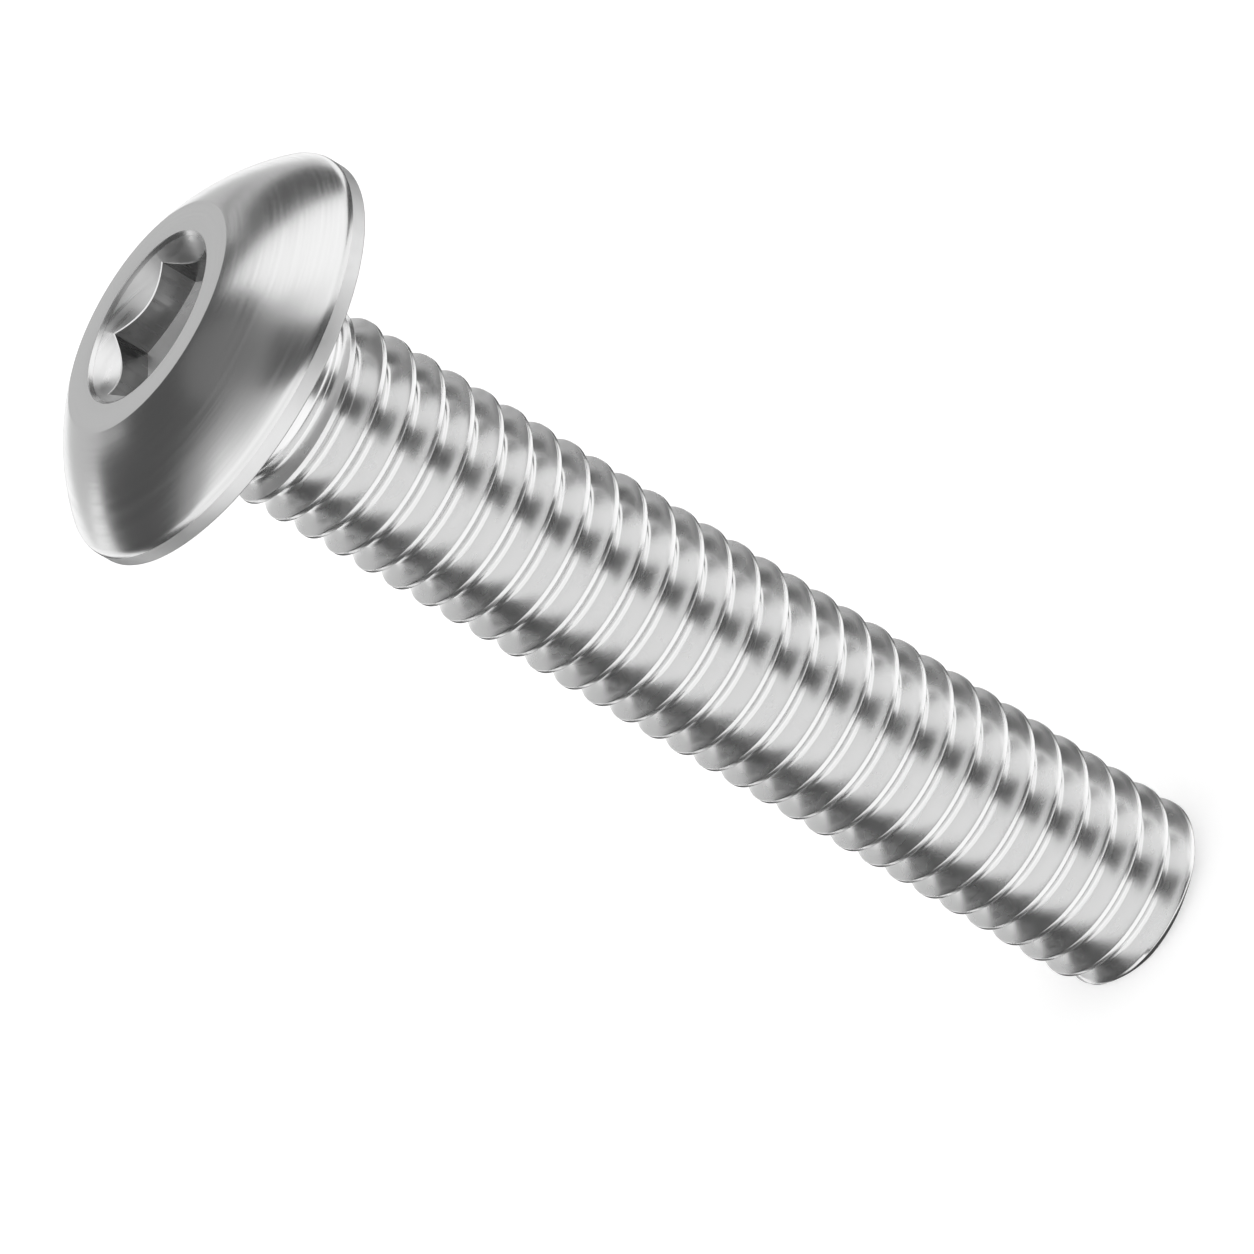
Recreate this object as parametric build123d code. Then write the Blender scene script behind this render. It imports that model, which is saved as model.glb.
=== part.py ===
from build123d import *
import os
from math import cos, radians, tan

os.makedirs("parts", exist_ok=True)

# A button head socket screw, M3 x 0.5 x 16, in millimetres. It stands on its end face, which is
# the plane z = 0, with the screw's axis on Z and the head on top.

# Thread, right-hand, 60 degree profile
pitch = 0.5
crest_diameter = 2.94
root_diameter = 2.36
flank_angle = 30.0                 # of each flank, from square to the axis
start_angle = -165.0               # about Z from +X, where the ridge meets the end face
stretch_turns = 10.5               # the ridge is swept in stretches of this many turns
stretches = 3

# Shank
shank_length = 16.3                # sold as 16, with a tolerance of 0.35 either way
neck_diameter = 2.73               # the wire as headed, between the head and the thread
neck_length = 1.2                  # from the bearing face to the thread
end_chamfer = 0.17                 # at 45 degrees
underhead_bevel = 0.12             # stands for the small radius under the head

# Head
head_diameter = 6.12
head_height = 1.31
rim_height = 0.20                  # the straight land of the rim
rim_chamfer = 0.05
crown_radius = 3.79                # of the dome, nearly a ball centred on the axis
flat_diameter = 3.50               # of the flat ring on top of the dome

# Socket, for a 2 mm hexagon key
socket_width = 2.02                # across flats
socket_depth = 0.72                # of the six corners
mouth_diameter = 2.62              # of the countersink at the top
mouth_angle = 100.0                # of the countersink, included
floor_angle = 118.0                # of the drilled floor, included

crest_radius = crest_diameter / 2
root_radius = root_diameter / 2
neck_radius = neck_diameter / 2
head_radius = head_diameter / 2
thread_top = shank_length - neck_length
head_top = shank_length + head_height


def turned(*section):
    """A solid of revolution about Z from the half section's corners, each a radius and height."""
    return revolve(Plane.XZ * make_face(Polyline(*section, close=True)), Axis.Z)


def thread_ridge(start_height):
    """One stretch of the ridge, swept up the root helix from this height."""
    foot_radius = root_radius - 0.02    # sunk a little, so that it joins the core
    half_foot = (crest_radius - foot_radius) * tan(radians(flank_angle))
    section = Polyline(
        (foot_radius, start_height - half_foot),
        (crest_radius, start_height),
        (foot_radius, start_height + half_foot),
        close=True,
    )
    path = Helix(pitch, stretch_turns * pitch, root_radius, center=(0, 0, start_height))
    ridge = sweep(Plane.XZ * make_face(section), path, is_frenet=True)
    return Rot(0, 0, start_angle + 360 * start_height / pitch) * ridge


def threaded_shank():
    """The core and its ridge, which starts half a turn below the end face, cut to length."""
    shank = Cylinder(root_radius, shank_length, align=(Align.CENTER, Align.CENTER, Align.MIN))
    for stretch in range(stretches):
        shank += thread_ridge(pitch * (stretch * stretch_turns - 0.5))
    end_radius = crest_radius - end_chamfer
    clear_radius = crest_radius + end_chamfer
    shank -= turned(
        (0, -2 * pitch),
        (clear_radius, -2 * pitch),
        (clear_radius, clear_radius - end_radius),
        (end_radius, 0),
        (0, 0),
    )
    return split(shank, bisect_by=Plane.XY.offset(thread_top), keep=Keep.BOTTOM)


def neck_and_head():
    """The plain neck and the head above it, turned from one half section."""
    shoulder = shank_length + rim_height
    crown_foot = (head_radius - rim_chamfer, shoulder + rim_chamfer)
    crown_top = (flat_diameter / 2, head_top)
    outline = Polyline(
        crown_top,
        (0, head_top),
        (0, thread_top),
        (neck_radius, thread_top),
        (neck_radius, shank_length - underhead_bevel),
        (neck_radius + underhead_bevel, shank_length),
        (head_radius, shank_length),
        (head_radius, shoulder),
        crown_foot,
    )
    crown = RadiusArc(crown_foot, crown_top, -crown_radius)
    return revolve(Plane.XZ * make_face(outline + crown), Axis.Z)


def hexagon_socket():
    """The broached hexagon, ending on a drilled cone, with the countersink at its mouth."""
    corner_radius = socket_width / 2 / cos(radians(30))
    floor_depth = socket_depth + corner_radius / tan(radians(floor_angle / 2))
    mouth_radius = mouth_diameter / 2
    mouth_depth = mouth_radius / tan(radians(mouth_angle / 2))
    corners_on_y = RegularPolygon(corner_radius, 6, rotation=30)
    hexagon = extrude(Plane((0, 0, head_top)) * corners_on_y, -floor_depth)
    drill = turned(
        (0, head_top),
        (0, head_top - floor_depth),
        (corner_radius, head_top - socket_depth),
        (corner_radius, head_top),
    )
    countersink = turned((0, head_top), (0, head_top - mouth_depth), (mouth_radius, head_top))
    broached = hexagon & drill
    return broached + countersink


screw = threaded_shank() + neck_and_head()
screw -= hexagon_socket()

export_step(screw, "parts/screw.step")
print("screw", len(screw.solids()), "solid", screw.is_valid, round(screw.volume, 3), "mm3")
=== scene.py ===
import math

import bpy
from mathutils import Matrix, Vector


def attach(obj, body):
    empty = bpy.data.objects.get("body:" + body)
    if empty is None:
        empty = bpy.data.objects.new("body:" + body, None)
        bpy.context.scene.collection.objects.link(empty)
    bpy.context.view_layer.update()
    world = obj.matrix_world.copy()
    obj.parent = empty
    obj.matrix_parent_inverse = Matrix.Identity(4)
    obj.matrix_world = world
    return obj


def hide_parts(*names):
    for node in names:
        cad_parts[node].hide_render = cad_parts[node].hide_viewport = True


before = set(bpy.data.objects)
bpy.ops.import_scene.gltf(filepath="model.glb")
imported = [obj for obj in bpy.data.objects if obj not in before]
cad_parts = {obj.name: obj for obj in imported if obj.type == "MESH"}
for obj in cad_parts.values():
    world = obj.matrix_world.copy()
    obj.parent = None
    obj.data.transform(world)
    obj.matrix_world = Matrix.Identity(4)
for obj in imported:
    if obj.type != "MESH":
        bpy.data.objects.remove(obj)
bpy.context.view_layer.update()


# ---------------------------------------------------------------------------------------------
# Shank: the neck, the rolled thread and the flat end that the screw stands on, all of one wire.
# Rolling presses the root down and squeezes the crest up, so the groove fades out over its last
# turn below the neck. The screw's sizes are in millimetres, and all angles are in degrees.
PITCH = 0.5
CREST_RADIUS = 1.47
ROOT_RADIUS = 1.17
NECK_RADIUS = 1.365
SHANK_LENGTH = 16.3
UNDERHEAD_RADIUS = 0.12
END_CHAMFER = 0.17
SHANK_COLUMNS = 100
# Where the crest leaves the end face.
START_ANGLE = -165.0
# The crest is whole up to the first height and the root up to the second, and both have faded
# into the neck at the third.
FULL_CREST = 14.95
FULL_ROOT = 15.15
THREAD_TOP = 15.50
# Half a thread, from crest to root, as the flat crest, its rounded edge, the slightly hollow
# flank and the round root: the slope where each starts and ends, its length and its steps.
THREAD_BENDS = ((0, 0, 0.022, 1), (0, 66, 0.021, 4), (66, 54, 0.293, 4), (54, 0, 0.077, 5))
# A noise texture seldom leaves this range, over which the roughness is spread.
NOISE_RANGE = (0.3, 0.7)


def linear(hex_colour):
    """An sRGB hex colour as the linear values that light is added up in."""
    parts = [int(hex_colour[i:i + 2], 16) / 255 for i in (1, 3, 5)]
    return [c / 12.92 if c <= 0.04045 else ((c + 0.055) / 1.055) ** 2.4 for c in parts] + [1.0]


def add_node(tree, kind, settings=(), sockets=(), links=()):
    """A shader node with its settings, its sockets' values and the outputs that feed them."""
    node = tree.nodes.new(kind)
    for name, value in dict(settings).items():
        setattr(node, name, value)
    for socket, value in dict(sockets).items():
        node.inputs[socket].default_value = value
    for socket, output in dict(links).items():
        tree.links.new(output, node.inputs[socket])
    return node


def new_material(name):
    """A material with an empty node tree."""
    material = bpy.data.materials.new(name)
    material.use_nodes = True
    material.node_tree.nodes.clear()
    return material


def ring_place(tree, place, apart):
    """The radius and the height, counted in rings that are apart millimetres wide."""
    axes = add_node(tree, "ShaderNodeSeparateXYZ", links={"Vector": place})
    level = add_node(
        tree, "ShaderNodeCombineXYZ", links={"X": axes.outputs["X"], "Y": axes.outputs["Y"]})
    radius = add_node(
        tree, "ShaderNodeVectorMath", {"operation": "LENGTH"},
        links={"Vector": level.outputs["Vector"]})
    section = add_node(
        tree, "ShaderNodeCombineXYZ",
        links={"X": radius.outputs["Value"], "Y": axes.outputs["Z"]})
    rings = add_node(
        tree, "ShaderNodeVectorMath", {"operation": "SCALE"},
        {"Scale": 1000 / apart}, {"Vector": section.outputs["Vector"]})
    return rings.outputs["Vector"]


def steel(name, colour, roughness, relief, grain, rings=None):
    """Bare steel with marks that vary its roughness and are relief millimetres deep.

    The marks are grain millimetres long in x, y and z. Where rings is given, they also run
    round the axis, that many millimetres apart.
    """
    material = new_material(name)
    tree = material.node_tree
    place = add_node(tree, "ShaderNodeTexCoord").outputs["Object"]
    spot = add_node(
        tree, "ShaderNodeMapping",
        sockets={"Scale": [1000 / length for length in grain]}, links={"Vector": place})
    if rings:
        spot = add_node(
            tree, "ShaderNodeVectorMath", {"operation": "ADD"},
            links={0: spot.outputs["Vector"], 1: ring_place(tree, place, rings)})
    marks = add_node(
        tree, "ShaderNodeTexNoise",
        sockets={"Scale": 1.0, "Detail": 2.0}, links={"Vector": spot.outputs["Vector"]})
    rough = add_node(
        tree, "ShaderNodeMapRange",
        sockets={
            "From Min": NOISE_RANGE[0], "From Max": NOISE_RANGE[1],
            "To Min": roughness[0], "To Max": roughness[1]},
        links={"Value": marks.outputs["Fac"]})
    bump = add_node(
        tree, "ShaderNodeBump",
        sockets={"Strength": 1.0, "Distance": relief / 1000},
        links={"Height": marks.outputs["Fac"]})
    shader = add_node(
        tree, "ShaderNodeBsdfPrincipled",
        sockets={"Base Color": linear(colour), "Metallic": 1.0},
        links={"Roughness": rough.outputs["Result"], "Normal": bump.outputs["Normal"]})
    add_node(tree, "ShaderNodeOutputMaterial", links={"Surface": shader.outputs["BSDF"]})
    return material


def steel_piece(name, points, faces, material):
    """A smooth shaded piece of the screw, from points in millimetres."""
    mesh = bpy.data.meshes.new(name)
    mesh.from_pydata([(x / 1000, y / 1000, z / 1000) for x, y, z in points], [], faces)
    mesh.materials.append(material)
    mesh.shade_smooth()
    piece = bpy.data.objects.new(name, mesh)
    bpy.context.scene.collection.objects.link(piece)
    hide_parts("screw")
    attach(piece, "root")


def half_thread():
    """Half a thread as (distance, radius) points, from the crest's middle to the root's."""
    distance = 0
    depth = 0
    bends = [(distance, depth)]
    for start, end, length, steps in THREAD_BENDS:
        for step in range(steps):
            slope = math.radians(start + (end - start) * (step + 0.5) / steps)
            distance += length / steps * math.cos(slope)
            depth += length / steps * math.sin(slope)
            bends.append((distance, depth))
    drop = (CREST_RADIUS - ROOT_RADIUS) / depth
    return [(x * PITCH / 2 / distance, CREST_RADIUS - y * drop) for x, y in bends]


def shank_radius(height, column, profile):
    """The radius at a height in a column: thread, run-out and end chamfer."""
    from_crest = (height - PITCH * column / SHANK_COLUMNS) % PITCH
    from_crest = min(from_crest, PITCH - from_crest)
    for (near, outer), (far, inner) in zip(profile, profile[1:]):
        if from_crest <= far:
            break
    radius = outer + (inner - outer) * (from_crest - near) / (far - near)
    full = FULL_CREST if radius > NECK_RADIUS else FULL_ROOT
    fade = min(max((THREAD_TOP - height) / (THREAD_TOP - full), 0), 1)
    soft_fade = fade * fade * (3 - 2 * fade)
    radius = NECK_RADIUS + (radius - NECK_RADIUS) * soft_fade
    return min(radius, CREST_RADIUS - END_CHAMFER + height)


def shank_mesh():
    """The shank as a grid whose rows climb with the thread, and its flat end face.

    A row is held where it would run past the end face or into the underhead radius, and the
    points that meet there are made once.
    """
    profile = half_thread()
    steps = [at for at, _ in profile] + [PITCH - at for at, _ in profile[-2:0:-1]]
    top = SHANK_LENGTH - UNDERHEAD_RADIUS
    turns = int(top / PITCH) + 2
    points = []
    made = {}
    rows = []
    for turn in range(turns):
        for step in steps:
            row = []
            for column in range(SHANK_COLUMNS):
                climbed = (turn - 1 + column / SHANK_COLUMNS) * PITCH + step
                height = min(max(climbed, 0), top)
                if (column, height) not in made:
                    made[column, height] = len(points)
                    radius = shank_radius(height, column, profile)
                    swing = math.radians(START_ANGLE + 360 * column / SHANK_COLUMNS)
                    points.append((radius * math.cos(swing), radius * math.sin(swing), height))
                row.append(made[column, height])
            rows.append(row)

    # After a full turn, a row goes on as the one that starts a pitch higher.
    for row, next_turn in zip(rows, rows[len(steps):]):
        row.append(next_turn[0])

    faces = []
    for row, above in zip(rows, rows[1:]):
        for corners in zip(row, row[1:], above[1:], above):
            corners = list(dict.fromkeys(corners))
            if len(corners) > 2:
                faces.append(corners)

    # The end face has its own corners, so that its edge stays sharp.
    end_edge = [points[made[column, 0]] for column in range(SHANK_COLUMNS)]
    faces.append([len(points) + column for column in reversed(range(SHANK_COLUMNS))])
    return points + end_edge, faces


# Stainless steel, rolled cold between polished dies: bright, a little blurred, and clouded along
# the thread where the die slipped.
rolled_steel = steel(
    "stainless steel, rolled", "#E4E4E4",
    roughness=(0.22, 0.29), relief=0.00015, grain=(0.5, 0.5, 0.12))

steel_piece("shank", *shank_mesh(), rolled_steel)


# ---------------------------------------------------------------------------------------------
# Head: a low dome with a flat ring on top and a narrow straight rim, headed cold from the end
# of the same wire. The dome and the ring are then turned, and every edge is just broken.
HEAD_RADIUS = 3.06
HEAD_TOP = 17.61
RIM_TOP = 16.595
RIM_CHAMFER = 0.05
CROWN_RADIUS = 3.79
FLAT_RADIUS = 1.75
MOUTH_RADIUS = 1.31
HEAD_COLUMNS = 192
DOME_STEPS = 24
UNDERHEAD_STEPS = 6
# The shoulder's rounding aims at this step of the dome, and so runs into it smoothly.
SHOULDER_AIM = 4
# How far each edge is broken, along both of the faces that meet there.
RIM_EDGE = 0.03
SHOULDER_EDGE = 0.075
RING_EDGE = 0.012
MOUTH_EDGE = 0.05


def arc(centre, radius, start, end, steps):
    """Points of an arc, with angles in degrees from the first axis."""
    turns = [math.radians(start + (end - start) * i / steps) for i in range(steps + 1)]
    return [(centre[0] + radius * math.cos(t), centre[1] + radius * math.sin(t)) for t in turns]


def broken_edges(corners, reach):
    """A half section with each sharp corner rounded off, as far as reach from it."""
    section = [corners[0]]
    for before, corner, after in zip(corners, corners[1:], corners[2:]):
        corner = Vector(corner)
        back = (Vector(before) - corner).normalized() * reach
        on = (Vector(after) - corner).normalized() * reach
        for share in (0, 0.25, 0.5, 0.75, 1):
            section.append(tuple(corner + back * (1 - share) ** 2 + on * share ** 2))
    return section + [corners[-1]]


def dome_section():
    """The dome's arc from the top of the rim to the ring."""
    foot = Vector((HEAD_RADIUS - RIM_CHAMFER, RIM_TOP + RIM_CHAMFER))
    ring = Vector((FLAT_RADIUS, HEAD_TOP))
    across = ring - foot
    sag = math.sqrt(CROWN_RADIUS ** 2 - across.length_squared / 4)
    centre = (foot + ring) / 2 + Vector((-across.y, across.x)).normalized() * sag
    start = math.degrees(math.atan2(*(foot - centre).yx))
    end = math.degrees(math.atan2(*(ring - centre).yx))
    return arc(centre, CROWN_RADIUS, start, end, DOME_STEPS)


def head_sections():
    """Two half sections that meet at the rim's upper edge, below it and above it.

    The first runs from the neck out under the head and up the rim, and the second over the
    dome and the ring to the socket's mouth.
    """
    underhead_centre = (NECK_RADIUS + UNDERHEAD_RADIUS, SHANK_LENGTH - UNDERHEAD_RADIUS)
    underhead = arc(underhead_centre, UNDERHEAD_RADIUS, 180, 90, UNDERHEAD_STEPS)
    rim_foot = (HEAD_RADIUS, SHANK_LENGTH)
    rim = broken_edges([underhead[-1], rim_foot, (HEAD_RADIUS, RIM_TOP)], RIM_EDGE)

    dome = dome_section()
    slope = (Vector(dome[1]) - Vector(dome[0])).normalized()
    corner = Vector(dome[0]) - slope * (RIM_CHAMFER / abs(slope.x))
    shoulder = broken_edges([rim_foot, corner, dome[SHOULDER_AIM]], SHOULDER_EDGE)[1:-1]
    mouth = (MOUTH_RADIUS - MOUTH_EDGE, HEAD_TOP - MOUTH_EDGE)
    top = broken_edges([dome[-2], dome[-1], (MOUTH_RADIUS, HEAD_TOP), mouth], RING_EDGE)

    below = underhead[:-1] + rim[:-1] + shoulder[:1]
    above = shoulder + dome[1:-2] + top
    return below, above


def turned_mesh(section):
    """A surface turned from a half section of (radius, height) points, outside to the right."""
    points = []
    for radius, height in section:
        for column in range(HEAD_COLUMNS):
            swing = 2 * math.pi * column / HEAD_COLUMNS
            points.append((radius * math.cos(swing), radius * math.sin(swing), height))
    faces = []
    for row in range(len(section) - 1):
        for column in range(HEAD_COLUMNS):
            a = row * HEAD_COLUMNS + column
            b = row * HEAD_COLUMNS + (column + 1) % HEAD_COLUMNS
            faces.append((a, b, b + HEAD_COLUMNS, a + HEAD_COLUMNS))
    return points, faces


# Stainless steel, headed: the underhead and the rim as the die left them, a soft grey that is
# duller than the turned dome.
headed_steel = steel(
    "stainless steel, headed", "#DCDCDC",
    roughness=(0.42, 0.5), relief=0.0008, grain=(0.3, 0.3, 0.3))
# Stainless steel, turned: bright, with rings that draw each reflection out a little. Real ones
# are 0.02 mm apart, too fine to show, and are drawn at twice that.
turned_steel = steel(
    "stainless steel, turned", "#DCDCDC",
    roughness=(0.21, 0.26), relief=0.0003, grain=(1.5, 1.5, 1.5), rings=0.04)

below, above = head_sections()
steel_piece("rim", *turned_mesh(below), headed_steel)
steel_piece("head", *turned_mesh(above), turned_steel)


# ---------------------------------------------------------------------------------------------
# Socket: a hexagon for a 2 mm key, punched into a drilled hole whose cone is left at the bottom.
# A countersink at the mouth leads the key in, and scallops the tops of the six walls.
WALLS = 6
WALL_TURN = 360 / WALLS
WALL_COLUMNS = 16
KEY_HALF = 1.01
SOCKET_DEPTH = 0.72
MOUTH_ANGLE = 84.0
FLOOR_ANGLE = 150.0
# How far the lip between the countersink and a wall is broken.
LIP_EDGE = 0.01
# The cone ends just off the axis, so that each of its faces keeps four corners.
POINT_RADIUS = 0.001
# The stations on the way down: the mouth, the scalloped lip and the wall just below it, the
# foot of the wall, and the point of the drilled hole.
MOUTH, LIP, WALL_TOP, WALL_FOOT, POINT = range(5)


def socket_band(upper, lower):
    """One band of the socket round all six walls, between two of its stations."""
    corner_radius = KEY_HALF / math.cos(math.radians(WALL_TURN / 2))
    mouth_slope = math.tan(math.radians(MOUTH_ANGLE / 2))
    floor_slope = math.tan(math.radians(FLOOR_ANGLE / 2))
    points = []
    faces = []
    for wall in range(WALLS):
        first = len(points)
        for column in range(WALL_COLUMNS + 1):
            from_corner = WALL_TURN * column / WALL_COLUMNS
            swing = math.radians(WALL_TURN / 2 + WALL_TURN * wall + from_corner)
            reach = KEY_HALF / math.cos(math.radians(from_corner - WALL_TURN / 2))
            lip = (MOUTH_RADIUS - reach) / mouth_slope
            stations = (
                (MOUTH_RADIUS, 0),
                (reach + LIP_EDGE * mouth_slope, lip - LIP_EDGE),
                (reach, lip + LIP_EDGE),
                (reach, SOCKET_DEPTH + (corner_radius - reach) / floor_slope),
                (POINT_RADIUS, SOCKET_DEPTH + corner_radius / floor_slope))
            for radius, depth in (stations[upper], stations[lower]):
                points.append(
                    (radius * math.cos(swing), radius * math.sin(swing), HEAD_TOP - depth))
        for column in range(WALL_COLUMNS):
            a = first + 2 * column
            faces.append((a, a + 2, a + 3, a + 1))
    return points, faces


# Stainless steel, countersunk: as bright as the dome, with rings from the tool, which are drawn
# about three times as wide as real ones so that they show.
countersunk_steel = steel(
    "stainless steel, countersunk", "#DCDCDC",
    roughness=(0.25, 0.4), relief=0.001, grain=(0.4, 0.4, 0.4), rings=0.12)
# Stainless steel, punched: streaked along the axis, and darker than the rest of the steel, as
# painted shade for the walls down in the socket. Real streaks are a few hundredths of a
# millimetre wide, and are drawn wider to show.
punched_steel_painted_shade = steel(
    "stainless steel, punched, painted shade", "#949494",
    roughness=(0.12, 0.34), relief=0.002, grain=(0.09, 0.09, 1.2))
# Stainless steel, drilled: a fresh cut with the drill's rings, drawn as coarse as the
# countersink's. Its colour is lighter than bare steel, as painted light on the socket's floor.
drilled_steel_painted_light = steel(
    "stainless steel, drilled, painted light", "#FAFAFA",
    roughness=(0.25, 0.4), relief=0.002, grain=(0.4, 0.4, 0.4), rings=0.12)

steel_piece("countersink", *socket_band(MOUTH, LIP), countersunk_steel)
steel_piece("socket_edge", *socket_band(LIP, WALL_TOP), turned_steel)
steel_piece("socket_walls", *socket_band(WALL_TOP, WALL_FOOT), punched_steel_painted_shade)
steel_piece("socket_floor", *socket_band(WALL_FOOT, POINT), drilled_steel_painted_light)


# ---------------------------------------------------------------------------------------------
# Floor: a wide sheet of white paper that the screw stands on. The metal doesn't mirror it: below
# the screw it mirrors the lower half of the tent, as it would on a glass table. The sizes of the
# floor, the tent and the cards are in metres.
FLOOR_HALF = 1.0
PAPER_GLOW = 0.3


def stage_piece(name, points, faces, material):
    """A piece of the studio, from points in metres."""
    mesh = bpy.data.meshes.new(name)
    mesh.from_pydata(points, [], faces)
    mesh.materials.append(material)
    piece = bpy.data.objects.new(name, mesh)
    bpy.context.scene.collection.objects.link(piece)
    return piece


# White paper, uncoated: matt, and lit a little from within where it is looked at, so that it
# shows white and still keeps the screw's shadow.
paper = new_material("white paper, uncoated")
tree = paper.node_tree
light_path = add_node(tree, "ShaderNodeLightPath")
looked_at = add_node(
    tree, "ShaderNodeMath", {"operation": "MAXIMUM"},
    links={0: light_path.outputs["Is Camera Ray"], 1: light_path.outputs["Is Glossy Ray"]})
matt = add_node(tree, "ShaderNodeBsdfDiffuse", sockets={"Color": linear("#F2F2F2")})
glow = add_node(
    tree, "ShaderNodeEmission",
    sockets={"Color": (PAPER_GLOW, PAPER_GLOW, PAPER_GLOW, 1)},
    links={"Strength": looked_at.outputs["Value"]})
sheet = add_node(
    tree, "ShaderNodeAddShader", links={0: matt.outputs["BSDF"], 1: glow.outputs["Emission"]})
add_node(tree, "ShaderNodeOutputMaterial", links={"Surface": sheet.outputs["Shader"]})

floor_corners = [
    (-FLOOR_HALF, -FLOOR_HALF, 0), (FLOOR_HALF, -FLOOR_HALF, 0),
    (FLOOR_HALF, FLOOR_HALF, 0), (-FLOOR_HALF, FLOOR_HALF, 0)]
floor = stage_piece("floor", floor_corners, [(0, 1, 2, 3)], paper)
floor.visible_glossy = False


# ---------------------------------------------------------------------------------------------
# Tent: a ball of white cloth round the screw, which is what the metal mirrors. It is brightest
# low down, and dark underneath and overhead. The camera looks through it. A place in the tent is
# given by its azimuth, to the right of the camera, and its elevation.
CAMERA_AZIMUTH = -51.0
TENT_RADIUS = 0.3
TENT_CENTRE = (0, 0, 0.009)
TENT_STEP = 5
CLOTH_LEVELS = (
    (-90, 0.1), (-64, 0.2), (-52, 1.35), (-20, 1.25), (10, 1.1),
    (35, 1.25), (54, 1.05), (65, 0.5), (76, 0.17), (90, 0.18))


def tent_point(azimuth, elevation, radius):
    """A point in the tent, in metres from its centre."""
    swing = math.radians(CAMERA_AZIMUTH + azimuth)
    rise = math.radians(elevation)
    flat = radius * math.cos(rise)
    return (flat * math.cos(swing), flat * math.sin(swing), radius * math.sin(rise))


def tent_piece(name, rows, material):
    """A piece of the tent from rows of points, seen by reflections but not by the camera."""
    across = len(rows[0])
    points = [point for row in rows for point in row]
    faces = []
    for row in range(len(rows) - 1):
        for column in range(across - 1):
            a = row * across + column
            faces.append((a, a + 1, a + 1 + across, a + across))
    piece = stage_piece(name, points, faces, material)
    piece.location = TENT_CENTRE
    piece.visible_camera = False
    piece.visible_shadow = False
    return piece


# Tent cloth, white and closely woven: no thread shows, only how brightly it is lit at each
# elevation.
cloth = new_material("tent cloth, woven")
tree = cloth.node_tree
place = add_node(tree, "ShaderNodeTexCoord")
axes = add_node(tree, "ShaderNodeSeparateXYZ", links={"Vector": place.outputs["Object"]})
height = add_node(
    tree, "ShaderNodeMapRange",
    sockets={"From Min": -TENT_RADIUS, "From Max": TENT_RADIUS},
    links={"Value": axes.outputs["Z"]})
light = add_node(tree, "ShaderNodeValToRGB", links={"Fac": height.outputs["Result"]})
stops = [(0.5 + 0.5 * math.sin(math.radians(rise)), level) for rise, level in CLOTH_LEVELS]
for position, _ in stops[1:-1]:
    light.color_ramp.elements.new(position)
for element, (position, level) in zip(light.color_ramp.elements, stops):
    element.position = position
    element.color = (level, level, level, 1)
glow = add_node(
    tree, "ShaderNodeEmission",
    sockets={"Strength": 1.0}, links={"Color": light.outputs["Color"]})
add_node(tree, "ShaderNodeOutputMaterial", links={"Surface": glow.outputs["Emission"]})

tent_rows = [
    [tent_point(azimuth, elevation, TENT_RADIUS) for azimuth in range(-180, 181, TENT_STEP)]
    for elevation in range(-90, 91, TENT_STEP)]
tent_piece("tent", tent_rows, cloth)


# ---------------------------------------------------------------------------------------------
# Cards: strips of card that hang inside the tent, most of them wider at one end. The metal
# mirrors them as the dark and light bands that show its form, and the paper isn't touched by
# their light or their shadow.
CARD_RADIUS = 0.9 * TENT_RADIUS
SHADE_RADIUS = 0.95 * TENT_RADIUS
PANEL_RADIUS = 0.8 * TENT_RADIUS
CARD_STEPS = 24
CARD_COLUMNS = 8


def card_material(name, level):
    """Card that looks equally bright all over, however the light falls on it."""
    material = new_material(name)
    tree = material.node_tree
    glow = add_node(tree, "ShaderNodeEmission", sockets={"Color": (level, level, level, 1)})
    add_node(tree, "ShaderNodeOutputMaterial", links={"Surface": glow.outputs["Emission"]})
    return material


def card(name, low, high, material, radius=CARD_RADIUS):
    """A strip of card between two places, each given as (azimuth, elevation, width)."""
    rows = []
    for step in range(CARD_STEPS + 1):
        azimuth, elevation, width = (a + (b - a) * step / CARD_STEPS for a, b in zip(low, high))
        # A degree of azimuth is shorter higher up, and the card keeps its width.
        spread = width / math.cos(math.radians(elevation))
        row = []
        for column in range(CARD_COLUMNS + 1):
            aside = spread * (column / CARD_COLUMNS - 0.5)
            row.append(tent_point(azimuth + aside, elevation, radius))
        rows.append(row)
    piece = tent_piece(name, rows, material)
    piece.visible_diffuse = False


# Card, uncoated, in four shades: black for the darkest bands, a dark shade that softens the edge
# of the left one, grey that takes the far side down, and white, lit brighter than the cloth.
black = card_material("black card, uncoated", 0.07)
shaded = card_material("shaded card, uncoated", 0.35)
grey = card_material("grey card, uncoated", 0.62)
white = card_material("white card, uncoated", 1.25)

card("left card", (-84, -44, 34), (-146, 75, 58), black)
card("left shade", (-104, 20, 44), (-124, 75, 62), shaded, SHADE_RADIUS)
card("middle card", (37, -34, 37), (28, 70, 26), black)
card("right card", (138, 5, 30), (166, 75, 54), black)
card("right foot", (98, 8, 28), (128, -20, 34), black)
card("back card", (180, 0, 60), (180, 45, 60), grey)
card("low card", (180, -68, 110), (180, -15, 80), black)
card("right panel", (96, 20, 50), (108, 66, 22), white, PANEL_RADIUS)


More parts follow.
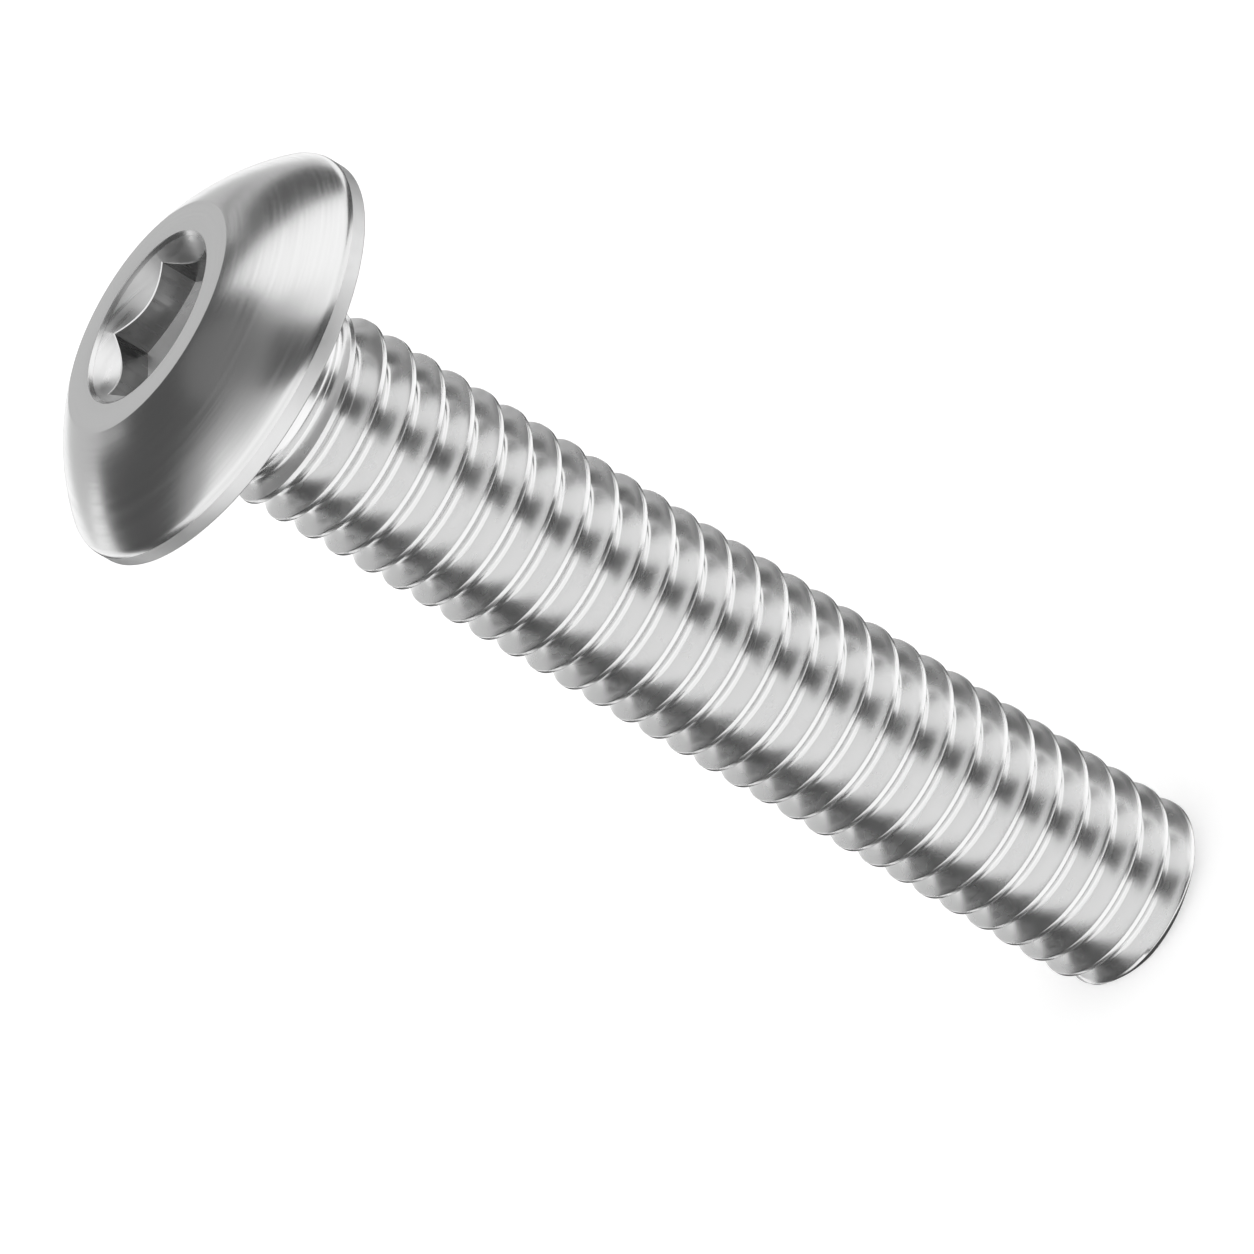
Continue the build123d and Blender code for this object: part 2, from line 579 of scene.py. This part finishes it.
# ---------------------------------------------------------------------------------------------
# Room: even white light from all round, which passes through the tent and between the cards. It
# falls on the paper round the screw, and so gives the screw its soft shadow.
world = bpy.data.worlds.new("studio")
bpy.context.scene.world = world
world.use_nodes = True
tree = world.node_tree
tree.nodes.clear()
room = add_node(
    tree, "ShaderNodeBackground", sockets={"Color": (1, 1, 1, 1), "Strength": 1.0})
add_node(tree, "ShaderNodeOutputWorld", links={"Surface": room.outputs["Background"]})


# ---------------------------------------------------------------------------------------------
# Camera: a long lens that looks down on the screw, rolled so that the screw crosses the frame
# with its head at the upper left. The middle of the head's top is placed in the view: its
# distance in metres, and how far right and down it lies, as shares of that distance.
CAMERA_ELEVATION = 26.0
CAMERA_ROLL = 59.56
HEAD_AWAY = 0.106395
HEAD_RIGHT = -0.060038
HEAD_DOWN = -0.038822
SENSOR_WIDTH = 36.0
FRAME_PIXELS = 1254
LENS_PIXELS = 8000
CLIP_START = 0.01
CLIP_END = 10.0

azimuth = math.radians(CAMERA_AZIMUTH)
elevation = math.radians(CAMERA_ELEVATION)
roll = math.radians(CAMERA_ROLL)
flat = math.cos(elevation)
forward = -Vector((flat * math.cos(azimuth), flat * math.sin(azimuth), math.sin(elevation)))
level_right = Vector((-math.sin(azimuth), math.cos(azimuth), 0))
level_up = level_right.cross(forward)
right = level_right * math.cos(roll) - level_up * math.sin(roll)
up = level_right * math.sin(roll) + level_up * math.cos(roll)
to_head = HEAD_AWAY * (forward + right * HEAD_RIGHT - up * HEAD_DOWN)

camera_data = bpy.data.cameras.new("camera")
camera_data.sensor_width = SENSOR_WIDTH
camera_data.lens = LENS_PIXELS / FRAME_PIXELS * SENSOR_WIDTH
camera_data.clip_start = CLIP_START
camera_data.clip_end = CLIP_END
camera = bpy.data.objects.new("camera", camera_data)
bpy.context.scene.collection.objects.link(camera)
camera.matrix_world = Matrix((right, up, -forward)).transposed().to_4x4()
camera.location = Vector((0, 0, HEAD_TOP / 1000)) - to_head
bpy.context.scene.camera = camera

bpy.context.scene.view_settings.view_transform = "Standard"
